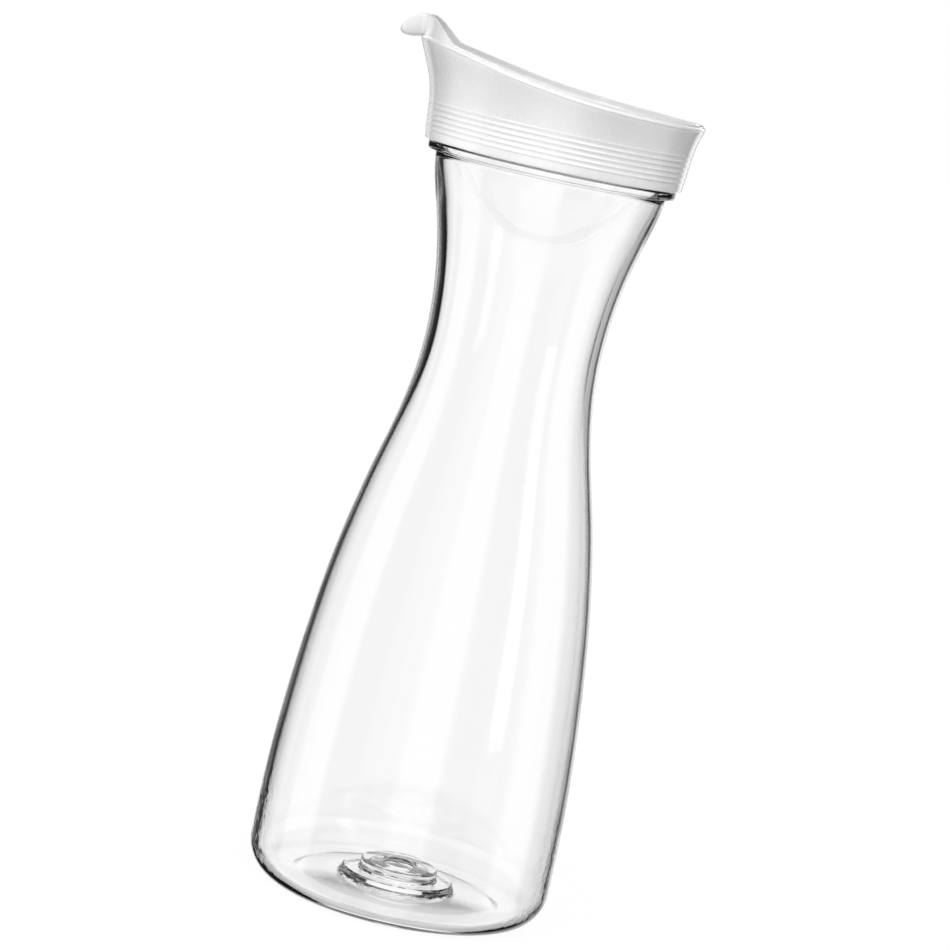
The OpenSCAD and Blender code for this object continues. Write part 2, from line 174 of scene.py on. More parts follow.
def bezier(p, t):
    """Point of a cubic with four control points."""
    return tuple((1 - t) ** 3 * a + 3 * t * (1 - t) ** 2 * b + 3 * t**2 * (1 - t) * c + t**3 * d
                 for a, b, c, d in zip(*p))


def turned(name, sections, closed=False):
    """Mesh through sections [(r, z)] that stand round the axis. Section i is (angle, points).

    Open sections start and end on the axis, at shared points. Closed ones are rings.
    """
    verts, faces = [], []
    count = len(sections[0][1])
    inner = range(count) if closed else range(1, count - 1)
    for angle, points in sections:
        c, s = math.cos(angle), math.sin(angle)
        verts += [(-points[j][0] * c * MM, points[j][0] * s * MM, points[j][1] * MM) for j in inner]
    n, m = len(sections), len(inner)
    for i in range(n):
        a, b = i * m, (i + 1) % n * m
        for j in range(m if closed else m - 1):
            k = (j + 1) % m
            faces.append((a + j, a + k, b + k, b + j))
    if not closed:
        first, last = len(verts), len(verts) + 1
        verts += [(0, 0, sections[0][1][0][1] * MM), (0, 0, sections[0][1][-1][1] * MM)]
        for i in range(n):
            a, b = i * m, (i + 1) % n * m
            faces += [(first, a, b), (last, b + m - 1, a + m - 1)]
    mesh = bpy.data.meshes.new(name)
    mesh.from_pydata(verts, [], faces)
    mesh.validate()
    mesh.shade_smooth()
    piece = bpy.data.objects.new(name, mesh)
    bpy.context.scene.collection.objects.link(piece)
    return piece


def lathe(name, outline, segments, closed=False):
    """One outline turned round the axis."""
    return turned(name, [(2 * math.pi * i / segments, outline) for i in range(segments)], closed)


# Bottle
WALL_STEPS, BOTTLE_SEGMENTS = 150, 288


def dome(base, rise, r, start, stop, steps):
    """Outline of a shallow dome, from the radius start to stop."""
    return [(q, base + rise * (1 - (q / r) ** 2)) for q in spread(start, stop, steps)]


def bottle_outside():
    hollow_r, hollow_z = BOSS_R - BOSS_T, BOSS_Z - BOSS_T
    foot_in_r = FOOT_R - FOOT_W
    push_up = dome(0, PUSH_UP, foot_in_r, hollow_r, foot_in_r, 3)
    under = soften([(0, hollow_z), (hollow_r, hollow_z)] + push_up[:2], BASE_CORNER, 5)
    return (under[:-1]
            + dome(0, PUSH_UP, foot_in_r, hollow_r + BLEND_RUN, foot_in_r, 16)
            + arc((FOOT_R, HEEL_RISE), HEEL_RUN, HEEL_RISE, -90, 0, 24)
            + [(through(OUTSIDE, z), z) for z in spread(HEEL_RISE, NECK_Z, WALL_STEPS)[1:]]
            + arc((NECK_R + FLANGE_FILLET, NECK_Z), FLANGE_FILLET, FLANGE_FILLET, 180, 90, 8)
            + arc((FLANGE_R - FLANGE_ROUND, FLANGE_UNDER_Z + FLANGE_ROUND),
                  FLANGE_ROUND, FLANGE_ROUND, -90, 0, 8)
            + arc((FLANGE_R - FLANGE_EDGE, FLANGE_TOP_Z - FLANGE_EDGE), FLANGE_EDGE, FLANGE_EDGE, 0, 90, 4)
            + [(BORE_R + MOUTH_WALL, FLANGE_TOP_Z)]
            + arc((BORE_R + MOUTH_WALL - MOUTH_ROUND, MOUTH_Z - MOUTH_ROUND),
                  MOUTH_ROUND, MOUTH_ROUND, 0, 90, 8))


def bottle_inside():
    boss = soften([(0, BOSS_Z - DIMPLE_H), (DIMPLE_R - DIMPLE_H, BOSS_Z - DIMPLE_H), (DIMPLE_R, BOSS_Z),
                   (BOSS_R, BOSS_Z), (BOSS_R, STEP_Z), (STEP_R, STEP_Z),
                   dome(FLOOR_T, DOME_RISE, DOME_R, STEP_R, DOME_R, 1)[0],
                   dome(FLOOR_T, DOME_RISE, DOME_R, STEP_R + BLEND_RUN, DOME_R, 1)[0]], BOSS_CORNER, 5)
    return (boss[:-1]
            + dome(FLOOR_T, DOME_RISE, DOME_R, STEP_R + BLEND_RUN, DOME_R, 16)
            + arc((BODY_R - WALL[0][1] - INNER_HEEL_RUN, HEEL_RISE), INNER_HEEL_RUN, HEEL_RISE - FLOOR_T,
                  -90, 0, 24)
            + [(through(OUTSIDE, z) - through(WALL, z), z)
               for z in spread(HEEL_RISE, NECK_Z, WALL_STEPS)[1:]]
            + arc((BORE_R + MOUTH_ROUND, MOUTH_Z - MOUTH_ROUND), MOUTH_ROUND, MOUTH_ROUND, 180, 90, 8))


def make_bottle():
    outline = bottle_outside() + bottle_inside()[::-1]
    return lathe("bottle_wall", outline, BOTTLE_SEGMENTS)


# Lid
SKIRT_ANGLE = math.atan(SKIRT_LEAN)
FLARE_START_R = SKIRT_R + SKIRT_LEAN * FLARE_Z
FLARE_END_Z = FLARE_Z + FLARE_R * (math.sin(FLARE_ANGLE) - math.sin(SKIRT_ANGLE))
FLARE_END_R = FLARE_START_R + FLARE_R * (math.cos(SKIRT_ANGLE) - math.cos(FLARE_ANGLE))


def lid_r(h):
    """Radius of the lid's outer face."""
    if h <= FLARE_Z:
        return SKIRT_R + SKIRT_LEAN * h
    if h <= FLARE_END_Z:
        a = math.asin(math.sin(SKIRT_ANGLE) + (h - FLARE_Z) / FLARE_R)
        return FLARE_START_R + FLARE_R * (math.cos(SKIRT_ANGLE) - math.cos(a))
    return FLARE_END_R + (h - FLARE_END_Z) * math.tan(FLARE_ANGLE)


def ribbed_r(h):
    """The same with its grip ribs."""
    swell = 0
    for i in range(RIB_COUNT):
        d = abs(h - RIB_Z - i * RIB_PITCH) / (RIB_W / 2)
        if d < 1:
            swell = RIB_H * math.cos(d * math.pi / 2) ** 2 * (TOP_RIB_SHARE if i == RIB_COUNT - 1 else 1)
    return lid_r(h) + swell


def rim_crease(q):
    return through(RIM, q) - LIP_H - EDGE_H


def crease(a):
    """Radius and height of the crease under the rim."""
    r = SKIRT_R
    for _ in range(8):
        r = lid_r(rim_crease(r * math.cos(a)))
    return r, rim_crease(r * math.cos(a))


RISE = [(TURN_Q, TURN_H, TURN_SLOPE),
        (TURN_Q + (CROWN_Q - TURN_Q) * RISE_SHARE, (TURN_H + CROWN_H) / 2, RISE_SLOPE),
        (CROWN_Q, CROWN_H, 0.0)]
TIP_RUN = (crease(0)[0] + BEAK_REACH - CROWN_Q) * TIP_SHARE


def rim_top(q):
    """Height of the rim's edge, with its rise to the crown and its fall to the beak's tip."""
    if q <= TURN_Q:
        return through(RIM, q)
    if q <= CROWN_Q:
        return through(RISE, q)
    return CROWN_H - TIP_DROP * (1 - math.sqrt(max(0, 1 - ((q - CROWN_Q) / TIP_RUN) ** 2)))


BEAK_ANGLE = math.atan(BEAK_W / 2 / (CROWN_Q + BEAK_REACH))
BEAK_IN_ANGLE = BEAK_ANGLE - math.atan(BEAK_WALL / (CROWN_Q + BEAK_REACH))


def beak_weight(a, half):
    return 1 / (1 + (abs(a) / half) ** BEAK_POWER)


def lid_section(a):
    """The lid's outline in the direction a from the beak, from the deck's underside to its top."""
    w, v = beak_weight(a, BEAK_ANGLE), beak_weight(a, BEAK_IN_ANGLE)
    c_r, c_h = crease(a)
    fade = 1 - FADE_SHARE * w
    plug_low = DECK_Z - PLUG_H
    groove_r = PLUG_R - GROOVE_DEPTH
    under = soften([
        (0, DECK_Z), (PLUG_R - PLUG_WALL, DECK_Z), (PLUG_R - PLUG_WALL, plug_low), (PLUG_R, plug_low),
        (PLUG_R, plug_low + GROOVE_Z), (groove_r, plug_low + GROOVE_Z),
        (groove_r, plug_low + GROOVE_Z + GROOVE_H), (PLUG_R, plug_low + GROOVE_Z + GROOVE_H),
        (PLUG_R, DECK_Z), (SKIRT_R - LID_WALL, DECK_Z), (SKIRT_R - LID_WALL, 0), (lid_r(0), 0),
        (lid_r(1), 1)], LID_CORNER, 3)
    skirt = [(ribbed_r(h), h) for h in spread(1.0, FLARE_Z + RIBBED_RUN, 100)[1:]]
    wall = [(lid_r(h), h) for h in spread(FLARE_Z + RIBBED_RUN, c_h - WALL_GAP, 24)[1:]]
    cove = [(lid_r(c_h + h) - depth, c_h + h) for h, depth in COVE]
    lip = arc((c_r - LIP_SET * fade, c_h + LIP_FOOT), LIP_SET * fade, LIP_H * fade - LIP_FOOT, 0, 90, 8)
    ridge = lip[-1]
    tip_r = c_r - LIP_SET * fade + (LIP_SET * fade + BEAK_REACH) * w
    tip = (tip_r, max(rim_top(tip_r * math.cos(a)), ridge[1] + EDGE_H))
    rise = tip[1] - ridge[1]
    top_r = c_r - LIP_SET - EDGE_T + (LIP_SET + EDGE_T + BEAK_REACH - BEAK_WALL) * v
    top_h = max(rim_top(top_r * math.cos(a)), ridge[1] + EDGE_H) * (1 - v) + tip[1] * v
    out = [ridge,
           (ridge[0] + w * BEAK_REACH * CHIN_SHARE, ridge[1] + (1 - w) * rise / 3 - w * CHIN_DROP),
           (tip[0] + w * CHIN_SWELL, tip[1] + (w - 1) * rise / 3 - w * (CHIN_DROP + rise)),
           tip]
    foot = (c_r - LID_WALL, c_h - INNER_FOOT)
    fall = top_h - foot[1]
    lean = (lid_r(c_h) - lid_r(c_h - INNER_FOOT)) / INNER_FOOT
    climb = (1 - v) * fall / 3 + v * FLOOR_HUMP
    into = [(top_r, top_h),
            (top_r - v * BEAK_REACH * FLOOR_SHARE, top_h - (1 - v) * fall / 3 - v * FLOOR_DIP),
            (foot[0] + lean * (1 - v) * climb, foot[1] + climb),
            foot]
    outer = [bezier(out, t) for t in spread(0, EDGE_BEGIN, 16)[1:]]
    inner = [bezier(into, t) for t in spread(EDGE_END, 1, 20)]
    edge = soften([outer[-1], tip, (top_r, top_h), inner[0]], EDGE_CORNER, 4)[1:-1]
    deck = DECK_Z + DECK_T
    basin = [(lid_r(h) - LID_WALL, h) for h in spread(c_h - INNER_FOOT, deck + BASIN_CORNER, 16)[1:]]
    floor = arc((lid_r(deck) - LID_WALL - BASIN_CORNER, deck + BASIN_CORNER), BASIN_CORNER + BASIN_LEAN,
                BASIN_CORNER, 0, -90, 6)[1:]
    points = (under[:-1] + skirt + wall + cove + lip + outer + edge + inner + basin + floor
              + [(r, deck) for r in DECK_RINGS])
    return [(r, h + SKIRT_Z) for r, h in points]


def section_angle(i):
    """Angle of a section from the beak. They stand closest together at the beak."""
    u = 2 * i / SECTIONS - 1
    return math.pi * (SPREAD_SHARE * u**3 + (1 - SPREAD_SHARE) * u)


def prism(name, outline, low, high):
    """Upright solid over a flat outline."""
    n = len(outline)
    verts = [(x * MM, y * MM, z * MM) for z in (low, high) for x, y in outline]
    faces = [tuple(range(n))[::-1], tuple(range(n, 2 * n))]
    faces += [(i, (i + 1) % n, n + (i + 1) % n, n + i) for i in range(n)]
    mesh = bpy.data.meshes.new(name)
    mesh.from_pydata(verts, [], faces)
    solid = bpy.data.objects.new(name, mesh)
    bpy.context.scene.collection.objects.link(solid)
    return solid


def cut(piece, cutters):
    """Takes the cutters out of the piece, and removes them."""
    for cutter in cutters:
        modifier = piece.modifiers.new("cut", "BOOLEAN")
        modifier.operation = "DIFFERENCE"
        modifier.solver = "EXACT"
        modifier.object = cutter
    bpy.context.view_layer.update()
    graph = bpy.context.evaluated_depsgraph_get()
    mesh = bpy.data.meshes.new_from_object(piece.evaluated_get(graph))
    piece.modifiers.clear()
    piece.data = mesh
    for cutter in cutters:
        bpy.data.objects.remove(cutter)


def opening_outline():
    """D shape on the beak's side, its corners rounded."""
    half = math.degrees(math.acos(OPENING_X / OPENING_R))
    round_part = arc((0, 0), OPENING_R, OPENING_R, 180 - half, 180 + half, 40)
    ends = soften([round_part[-2], round_part[-1], round_part[0], round_part[1]],
                  OPENING_CORNER, 5)[1:-1]
    return round_part[1:-1] + ends


def make_lid():
    angles = [section_angle(i) for i in range(SECTIONS)]
    piece = turned("lid_shell", [(a, lid_section(a)) for a in angles])
    low, high = SKIRT_Z + DECK_Z - CUTTER_REACH, SKIRT_Z + DECK_Z + DECK_T + CUTTER_REACH
    vent_x = (PLUG_R - PLUG_WALL + OPENING_X) / 2
    vent = arc((vent_x, 0), VENT_R, VENT_R, 0, 360 - 360 / VENT_STEPS, VENT_STEPS - 1)
    cut(piece, [
        prism("opening_cutter", opening_outline(), low, high),
        prism("vent_cutter", vent, low, high)])
    piece.data.shade_smooth()
    piece.data.set_sharp_from_angle(angle=SHARP_ANGLE)
    return piece


# Seal ring
LIPS, SEAL_WALL, SEAL_GAP, SEAL_CORNER, SEAL_SEGMENTS = 3, 0.7, 0.05, 0.25, 192


def make_seal():
    low_z, high_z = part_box("seal_ring")[0].z / MM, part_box("seal_ring")[1].z / MM
    out_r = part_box("seal_ring")[1].x / MM
    in_r = PLUG_R - GROOVE_DEPTH + SEAL_GAP
    step = (high_z - low_z) / (2 * LIPS)
    lips = [(out_r - SEAL_GAP if i % 2 else in_r + SEAL_WALL, low_z + i * step)
            for i in range(2 * LIPS + 1)]
    outline = soften([(in_r, low_z)] + lips + [(in_r, high_z)], SEAL_CORNER, 3)
    return lathe("seal_sleeve", outline, SEAL_SEGMENTS, closed=True)


# Materials
def material(name):
    m = bpy.data.materials.new(name)
    m.use_nodes = True
    nodes = m.node_tree.nodes
    return m, nodes, m.node_tree.links, nodes["Principled BSDF"]


def feed(links, socket, value):
    """Links an output to the socket, or sets the socket to a number."""
    if isinstance(value, (int, float)):
        socket.default_value = value
    else:
        links.new(value, socket)


def ramp(nodes, links, value, stops):
    """The tone or colour that the stops give for the value."""
    node = nodes.new("ShaderNodeValToRGB")
    elements = node.color_ramp.elements
    while len(elements) < len(stops):
        elements.new(0.5)
    for element, (place, tone) in zip(elements, stops):
        element.position = place
        element.color = (*(tone if isinstance(tone, tuple) else (tone,) * 3), 1)
    links.new(value, node.inputs["Fac"])
    return node.outputs["Color"]


def ranged(nodes, links, value, limits):
    """The value mapped smoothly from the first two limits to the last two."""
    node = nodes.new("ShaderNodeMapRange")
    node.interpolation_type = "SMOOTHSTEP"
    for socket, limit in zip(("From Min", "From Max", "To Min", "To Max"), limits):
        node.inputs[socket].default_value = limit
    links.new(value, node.inputs["Value"])
    return node.outputs["Result"]


def maths(nodes, links, operation, *values):
    node = nodes.new("ShaderNodeMath")
    node.operation = operation
    for socket, value in zip(node.inputs, values):
        feed(links, socket, value)
    return node.outputs[0]


def masked(nodes, links, value, masks):
    """The value times each mask, given as a source and its limits."""
    for source, limits in masks:
        value = maths(nodes, links, "MULTIPLY", value, ranged(nodes, links, source, limits))
    return value


def mixed(nodes, links, factor, a, b):
    """a where the factor is 0, b where it is 1."""
    node = nodes.new("ShaderNodeMix")
    node.data_type = "FLOAT"
    for socket, value in ((node.inputs[0], factor), (node.inputs[2], a), (node.inputs[3], b)):
        feed(links, socket, value)
    return node.outputs[0]


def tinted(nodes, links, colour, tone):
    """The colour times the tone."""
    node = nodes.new("ShaderNodeMix")
    node.data_type, node.blend_type = "RGBA", "MULTIPLY"
    node.inputs[0].default_value = 1.0
    links.new(colour, node.inputs[6])
    links.new(tone, node.inputs[7])
    return node.outputs[2]


def noise(nodes, links, scale, detail):
    """Noise over the object's own space."""
    place = nodes.new("ShaderNodeTexCoord")
    node = nodes.new("ShaderNodeTexNoise")
    node.inputs["Scale"].default_value = scale
    node.inputs["Detail"].default_value = detail
    links.new(place.outputs["Object"], node.inputs["Vector"])
    return node.outputs["Fac"]


def parts(nodes, links, coordinates):
    """X, Y and Z of texture coordinates."""
    place = nodes.new("ShaderNodeTexCoord")
    axes = nodes.new("ShaderNodeSeparateXYZ")
    links.new(place.outputs[coordinates], axes.inputs[0])
    return axes.outputs


def length(nodes, links, vector):
    node = nodes.new("ShaderNodeVectorMath")
    node.operation = "LENGTH"
    links.new(vector, node.inputs[0])
    return node.outputs["Value"]


def radius_from(nodes, links, axes):
    """Distance from the upright axis."""
    across = nodes.new("ShaderNodeCombineXYZ")
    links.new(axes["X"], across.inputs["X"])
    links.new(axes["Y"], across.inputs["Y"])
    return length(nodes, links, across.outputs[0])


def facing_away(nodes):
    """0 where a face looks at the eye, 1 where it is seen edge on."""
    node = nodes.new("ShaderNodeLayerWeight")
    node.inputs["Blend"].default_value = 0.5
    return node.outputs["Facing"]


def openness(nodes, samples, reach, inside=False):
    """1 where nothing stands over the face within reach, 0 where it is closed in."""
    node = nodes.new("ShaderNodeAmbientOcclusion")
    node.samples = samples
    node.inside = inside
    node.inputs["Distance"].default_value = reach
    return node.outputs["AO"]


def soften_inside(bsdf, weight, depth):
    """Lets light spread under the surface."""
    bsdf.inputs["Subsurface Weight"].default_value = weight
    bsdf.inputs["Subsurface Radius"].default_value = (1.0, 1.0, 1.0)
    bsdf.inputs["Subsurface Scale"].default_value = depth


def bump(nodes, links, height, strength, distance, bsdf):
    node = nodes.new("ShaderNodeBump")
    node.inputs["Strength"].default_value = strength
    node.inputs["Distance"].default_value = distance
    links.new(height, node.inputs["Height"])
    links.new(node.outputs["Normal"], bsdf.inputs["Normal"])


# Clear plastic. Its tone where the wall is seen edge on, darkened there as painted shade
CLEAR_EDGE_SHADE = [(0.0, 1.0), (0.8, 0.99), (0.88, 0.5), (0.94, 0.1), (1.0, 0.0)]
# Painted shade on the flange under the skirt: heights and radii in metres over which it darkens, its tone
# there, the gap that counts as under it, and the openness over which it clears
SEAM_Z, SEAM_R, SEAM_SHADE_TONE = (0.2369, 0.2371), (0.0350, 0.0360), 0.1
SEAM_GAP, SEAM_OPEN = 0.006, (0.6, 0.8)
# Ripples near the heel, where the wall turns away from the eye: how far it turns, the heights over which
# they begin and fade, the radii over which they begin, and their share
RIPPLE_TURN, RIPPLE_LOW, RIPPLE_HIGH = (0.21, 0.47), (0.003, 0.008), (0.026, 0.040)
RIPPLE_R, RIPPLE_SHARE = (0.040, 0.044), 1.3
# The boss and its step are a little uneven too: radii over which that fades, heights over which it begins,
# and its share
BOSS_SPAN, BOSS_LOW, BOSS_SHARE = (0.0185, 0.0205), (0.004, 0.005), 1.0
WAVE_SCALE, RIPPLE_SCALE, WAVE_DEPTH, WAVE_STRENGTH = 45, 300, 0.0006, 0.12


def clear_plastic():
    """Colourless moulded plastic: a little waviness from the mould, with painted shade where it is seen
    edge on and on the flange under the skirt.
    """
    m, nodes, links, bsdf = material("clear_plastic")
    bsdf.inputs["Transmission Weight"].default_value = 1.0
    bsdf.inputs["IOR"].default_value = 1.5
    bsdf.inputs["Roughness"].default_value = 0.0
    facing = facing_away(nodes)
    # Painted shade: the wall's colour darkens where it is seen edge on
    edge = ramp(nodes, links, facing, CLEAR_EDGE_SHADE)
    axes = parts(nodes, links, "Object")
    radius = radius_from(nodes, links, axes)
    # One of the wall's two sides is its outside. It is open wherever the lid is off
    open_side = maths(nodes, links, "MAXIMUM",
                      openness(nodes, 4, SEAM_GAP), openness(nodes, 4, SEAM_GAP, inside=True))
    # Painted shade where the skirt closes the flange in
    closed_in_shade = ranged(nodes, links, open_side, (*SEAM_OPEN, SEAM_SHADE_TONE, 1.0))
    near_seam = masked(nodes, links, ranged(nodes, links, axes["Z"], (*SEAM_Z, 0.0, 1.0)),
                       [(radius, (*SEAM_R, 0.0, 1.0))])
    seam_shade = mixed(nodes, links, near_seam, 1.0, closed_in_shade)
    links.new(maths(nodes, links, "MULTIPLY", edge, seam_shade), bsdf.inputs["Base Color"])
    waves, ripples = noise(nodes, links, WAVE_SCALE, 1.0), noise(nodes, links, RIPPLE_SCALE, 1.0)
    rippled = masked(nodes, links, maths(nodes, links, "MULTIPLY", ripples, RIPPLE_SHARE), [
        (axes["Z"], (*RIPPLE_LOW, 0.0, 1.0)), (axes["Z"], (*RIPPLE_HIGH, 1.0, 0.0)),
        (radius, (*RIPPLE_R, 0.0, 1.0)), (facing, (*RIPPLE_TURN, 0.0, 1.0))])
    uneven = masked(nodes, links, maths(nodes, links, "MULTIPLY", ripples, BOSS_SHARE), [
        (radius, (*BOSS_SPAN, 1.0, 0.0)), (axes["Z"], (*BOSS_LOW, 0.0, 1.0))])
    relief = maths(nodes, links, "ADD", waves, maths(nodes, links, "ADD", rippled, uneven))
    bump(nodes, links, relief, WAVE_STRENGTH, WAVE_DEPTH, bsdf)
    return m


# White plastic. Its tones, which a slow noise mixes, and the roughness that its fine grain mixes
WHITE_TONES = [(0.3, (0.798, 0.8, 0.802)), (0.7, (0.828, 0.83, 0.832))]
SATIN = [(0.3, 0.24), (0.7, 0.32)]
# Painted glow, given as emission, where the wall is seen nearly edge on, standing in for light that the
# thin wall lets through
EDGE_GLOW = 0.35
GLOW_SPAN = [(0.72, 0.0), (0.78, EDGE_GLOW), (0.85, EDGE_GLOW), (0.89, 0.0)]
# Painted glow on the lid's hidden underside, standing in for light that comes through the clear neck, and
# its share on the plug's side.
# How far inside the plug's face and under the deck's middle it begins, and the slopes between the two
UNDER_GLOW, SIDE_SHARE = 0.62, 0.5
GLOW_INSET, GLOW_UNDER, GLOW_SLOPE = (0.4, 0.2), 0.0002, (-0.9, -0.6)
# Tone of the wall's very edge, darkened there as painted shade, and the weights of its coat and gloss,
# which end there
WHITE_EDGE_SHADE = [(0.9, 1.0), (0.96, 0.35)]
COAT_SPAN, GLOSS_SPAN = [(0.88, 0.8), (0.94, 0.0)], [(0.88, 0.5), (0.94, 0.0)]
# Painted light: the skirt is lighter towards its foot. Its heights in metres, and its tone at its foot
SKIRT_SPAN, SKIRT_LIGHT_TONE = (0.238, 0.253), 1.1
# Painted shade: the recess is darker where it is closed in. How far that reaches, and its tones
HOLLOW_REACH, HOLLOW_SHADE_TONES = 0.09, [(0.25, 0.76), (0.9, 1.0)]


def white_plastic():
    """Soft-gloss white moulding, slightly see-through, with a fine satin grain."""
    m, nodes, links, bsdf = material("white_plastic")
    cloud = noise(nodes, links, 60, 3.0)
    tone = ramp(nodes, links, cloud, WHITE_TONES)
    axes = parts(nodes, links, "Object")
    facing = facing_away(nodes)
    # Painted shade darkens the recess where it is closed in
    hollow_shade = ramp(nodes, links, openness(nodes, 8, HOLLOW_REACH), HOLLOW_SHADE_TONES)
    # Painted light makes the skirt lighter towards its foot
    shade = masked(nodes, links, hollow_shade, [(axes["Z"], (*SKIRT_SPAN, SKIRT_LIGHT_TONE, 1.0))])
    # Painted shade darkens the wall's very edge
    outline = ramp(nodes, links, facing, WHITE_EDGE_SHADE)
    colour = tinted(nodes, links, tinted(nodes, links, tone, shade), outline)
    links.new(colour, bsdf.inputs["Base Color"])
    links.new(ramp(nodes, links, facing, COAT_SPAN), bsdf.inputs["Coat Weight"])
    links.new(ramp(nodes, links, facing, GLOSS_SPAN), bsdf.inputs["Specular IOR Level"])
    grain = noise(nodes, links, 2600, 2.0)
    links.new(ramp(nodes, links, grain, SATIN), bsdf.inputs["Roughness"])
    bsdf.inputs["IOR"].default_value = 1.49
    bsdf.inputs["Coat Roughness"].default_value = 0.16
    # Painted glow on the lid's hidden underside, within the plug and under the deck
    deck_middle = (SKIRT_Z + DECK_Z + DECK_T / 2) * MM
    within = ranged(nodes, links, radius_from(nodes, links, axes),
                    (*((PLUG_R - inset) * MM for inset in GLOW_INSET), UNDER_GLOW, 0.0))
    under = masked(nodes, links, within, [
        (axes["Z"], (deck_middle - GLOW_UNDER, deck_middle, 1.0, 0.0)),
        (parts(nodes, links, "Normal")["Z"], (*GLOW_SLOPE, 1.0, SIDE_SHARE))])
    # Painted glow, given as emission: at the wall's edges and on the hidden underside
    glow = maths(nodes, links, "ADD", ramp(nodes, links, facing, GLOW_SPAN), under)
    links.new(glow, bsdf.inputs["Emission Strength"])
    bsdf.inputs["Emission Color"].default_value = (1, 1, 1, 1)
    soften_inside(bsdf, 0.35, 0.0015)
    bump(nodes, links, grain, 0.08, 0.0001, bsdf)
    return m


# Seal: its tones, which a noise mixes
MILKY_TONES = [(0.3, (0.70, 0.72, 0.74)), (0.7, (0.78, 0.79, 0.80))]


def soft_seal():
    """Milky silicone with a matt, slightly cloudy surface."""
    m, nodes, links, bsdf = material("soft_seal")
    cloud = noise(nodes, links, 300, 3.0)
    links.new(ramp(nodes, links, cloud, MILKY_TONES), bsdf.inputs["Base Color"])
    bsdf.inputs["Roughness"].default_value = 0.55
    soften_inside(bsdf, 0.4, 0.001)
    bump(nodes, links, cloud, 0.2, 0.0002, bsdf)
    return m


def dress(piece, body, node, finish):
    """Puts a piece on its body in place of its CAD node."""
    piece.data.materials.clear()
    piece.data.materials.append(finish)
    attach(piece, body)
    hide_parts(node)


bottle = make_bottle()
dress(bottle, "bottle", "bottle", clear_plastic())
dress(make_lid(), "lid", "lid", white_plastic())
dress(make_seal(), "seal", "seal_ring", soft_seal())


# Studio. Its tone in scattered light
AMBIENT = 0.42
# The studio repeats every quarter turn. Its tones by angle from each quarter's start, in degrees, for
# light that was reflected inside the clear wall and for a first reflection
QUARTER = 90.0
INSIDE_TONES = ((0, 1.0), (13, 1.0), (18, 0.02), (25, 0.02), (29, 0.6), (42, 0.6), (47, 0.0), (60, 0.02),
                (72, 0.2), (77, 1.0))
OUTSIDE_TONES = ((0, 1.0), (20, 1.0), (33, 0.05), (70, 0.05), (76, 1.0))
# In light that was reflected inside the clear wall: the table's tone, the tones of the space over the
# object, and the slopes over which each begins
TABLE_TONE, OVERHEAD_TONE = 0.7, (0.95, 0.2)
TABLE_SLOPE, OVERHEAD_SLOPE = (-0.5, -0.38), (0.27, 0.45)


def make_world():
    """Studio round the object.

    It is white straight through the clear wall and pale in a first reflection. Light that was
    reflected inside the wall sees dark panels to the sides, which give the wall its dark edges.
    """
    world = bpy.data.worlds.new("studio")
    bpy.context.scene.world = world
    world.use_nodes = True
    nodes, links = world.node_tree.nodes, world.node_tree.links
    path = nodes.new("ShaderNodeLightPath").outputs
    axes = parts(nodes, links, "Generated")
    around = maths(nodes, links, "ARCTAN2", axes["X"], axes["Y"])
    quarters = maths(nodes, links, "DIVIDE", around, math.radians(QUARTER))
    place = maths(nodes, links, "FRACT", quarters)
    inside, outside = (ramp(nodes, links, place, [(angle / QUARTER, tone) for angle, tone in stops])
                       for stops in (INSIDE_TONES, OUTSIDE_TONES))
    once = maths(nodes, links, "GREATER_THAN", path["Glossy Depth"], 0.5)
    twice = maths(nodes, links, "GREATER_THAN", path["Glossy Depth"], 1.5)
    first = maths(nodes, links, "COMPARE", path["Ray Depth"], 2.0)
    next_out = maths(nodes, links, "COMPARE", path["Ray Depth"], 4.0)
    wall = maths(nodes, links, "MAXIMUM", next_out, twice)
    table = ranged(nodes, links, axes["Z"], (*TABLE_SLOPE, 1.0, 0.0))
    overhead = ranged(nodes, links, axes["Z"], (*OVERHEAD_SLOPE, *OVERHEAD_TONE))
    sides = mixed(nodes, links, table, inside, TABLE_TONE)
    deeper = mixed(nodes, links, wall, overhead, sides)
    reflected = mixed(nodes, links, first, deeper, outside)
    clear = mixed(nodes, links, once, 1.0, reflected)
    lit = mixed(nodes, links, path["Is Diffuse Ray"], clear, AMBIENT)
    shown = mixed(nodes, links, path["Is Camera Ray"], lit, 1.0)
    links.new(shown, nodes["Background"].inputs["Strength"])
    nodes["Background"].inputs["Color"].default_value = (1, 1, 1, 1)


# Floor: half its side, and how far it lies under the object
FLOOR_HALF, FLOOR_DROP = 8.0, 0.0002
# Its colour in the light it throws back, and the part of it in which the camera sees shadows
FLOOR_TONE, SHADOW_TONE = (0.5, 0.5, 0.5, 1), (0.1, 0.1, 0.1, 1)
# Distances from the object over which the floor's glow grows, and the glow at both
FLOOR_GLOW = (0.1, 0.5, 0.93, 1.0)


def mixed_shader(nodes, links, factor, a, b):
    node = nodes.new("ShaderNodeMixShader")
    for socket, value in zip(node.inputs, (factor, a, b)):
        links.new(value, socket)
    return node.outputs[0]


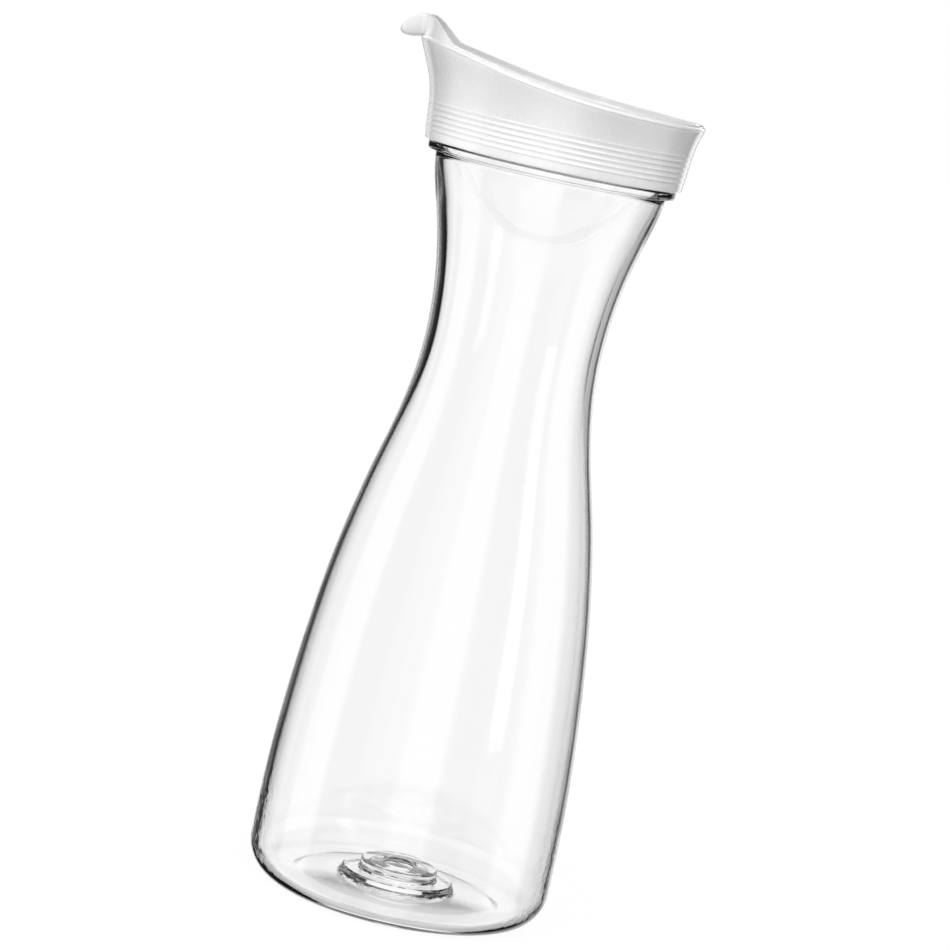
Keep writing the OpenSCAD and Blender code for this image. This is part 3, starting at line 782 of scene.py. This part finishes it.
def make_floor():
    """Pale floor. It glows white to the camera, and a little of its tone there shows shadows."""
    mesh = bpy.data.meshes.new("floor")
    corners = [(x * FLOOR_HALF, y * FLOOR_HALF, 0) for x, y in ((-1, -1), (1, -1), (1, 1), (-1, 1))]
    mesh.from_pydata(corners, [], [(0, 1, 2, 3)])
    floor = bpy.data.objects.new("floor", mesh)
    bpy.context.scene.collection.objects.link(floor)
    floor.location.z = -FLOOR_DROP
    m, nodes, links, bsdf = material("pale_floor")
    bsdf.inputs["Roughness"].default_value = 1.0
    bsdf.inputs["Specular IOR Level"].default_value = 0.0
    bsdf.inputs["Base Color"].default_value = FLOOR_TONE
    away = length(nodes, links, nodes.new("ShaderNodeTexCoord").outputs["Object"])
    glow = nodes.new("ShaderNodeEmission")
    links.new(ranged(nodes, links, away, FLOOR_GLOW), glow.inputs["Strength"])
    shade = nodes.new("ShaderNodeBsdfDiffuse")
    shade.inputs["Color"].default_value = SHADOW_TONE
    both = nodes.new("ShaderNodeAddShader")
    links.new(glow.outputs[0], both.inputs[0])
    links.new(shade.outputs[0], both.inputs[1])
    path = nodes.new("ShaderNodeLightPath").outputs
    lit = mixed_shader(nodes, links, path["Is Camera Ray"], bsdf.outputs[0], both.outputs[0])
    # Light that came through the clear wall sees the studio and not the floor
    bent = maths(nodes, links, "ADD", path["Transmission Depth"], path["Glossy Depth"])
    through_wall = maths(nodes, links, "GREATER_THAN", bent, 0.5)
    sharp = maths(nodes, links, "SUBTRACT", 1.0, path["Is Diffuse Ray"])
    unseen = maths(nodes, links, "MULTIPLY", through_wall, sharp)
    clear = nodes.new("ShaderNodeBsdfTransparent").outputs[0]
    links.new(mixed_shader(nodes, links, unseen, lit, clear), nodes["Material Output"].inputs["Surface"])
    mesh.materials.append(m)


# Where the lamps aim
MIDDLE = (0, 0, 0.2)


def softbox(name, place, width, height, power):
    """Soft lamp that looks at the object."""
    light = bpy.data.lights.new(name, "AREA")
    light.shape = "RECTANGLE"
    light.size, light.size_y = width, height
    light.energy = power
    lamp = bpy.data.objects.new(name, light)
    lamp.location = place
    lamp.rotation_euler = (Vector(MIDDLE) - Vector(place)).to_track_quat("-Z", "Y").to_euler()
    bpy.context.scene.collection.objects.link(lamp)
    return lamp


# Lamps that the clear bottle doesn't mirror, and the others: name, place, width, height, power
UNMIRRORED = [
    ("key_light", (-0.8, -0.9, 0.75), 0.6, 0.8, 9.8),
    ("front_light", (0.5, -1.0, 0.95), 0.6, 0.6, 4.6),
    ("side_light", (-1.2, -0.25, 0.1), 0.5, 0.5, 0.6),
]
MIRRORED = [
    ("fill_light", (1.0, -0.75, 0.5), 0.28, 1.1, 1.2),
    ("top_light", (0.5, 0.0, 1.25), 0.8, 0.8, 2.0),
]


def make_lamps():
    unlit = bpy.data.collections.new("unlit")
    unlit.objects.link(bottle)
    unlit.collection_objects[0].light_linking.link_state = "EXCLUDE"
    for lamp in UNMIRRORED:
        softbox(*lamp).light_linking.receiver_collection = unlit
    for lamp in MIRRORED:
        softbox(*lamp)


# Camera: fitted to the photo's outline
DISTANCE, CAMERA_Z = 1.076, 0.2916
PITCH, ROLL = math.radians(8.15), math.radians(12.37)
SIDE_STEP = -0.0030
FOCAL_PX, FRAME_PX = 3457.0, 950.0


def make_camera():
    data = bpy.data.cameras.new("photo_camera")
    data.sensor_fit = "HORIZONTAL"
    data.sensor_width = 36.0
    data.lens = FOCAL_PX / FRAME_PX * data.sensor_width
    data.clip_start = 0.05
    camera = bpy.data.objects.new("photo_camera", data)
    bpy.context.scene.collection.objects.link(camera)
    look = Matrix.Rotation(math.pi / 2 - PITCH, 4, "X") @ Matrix.Rotation(ROLL, 4, "Z")
    camera.matrix_world = Matrix.Translation((SIDE_STEP, -DISTANCE, CAMERA_Z)) @ look
    bpy.context.scene.camera = camera


make_world()
make_floor()
make_lamps()
make_camera()

bpy.context.scene.view_settings.view_transform = "Standard"
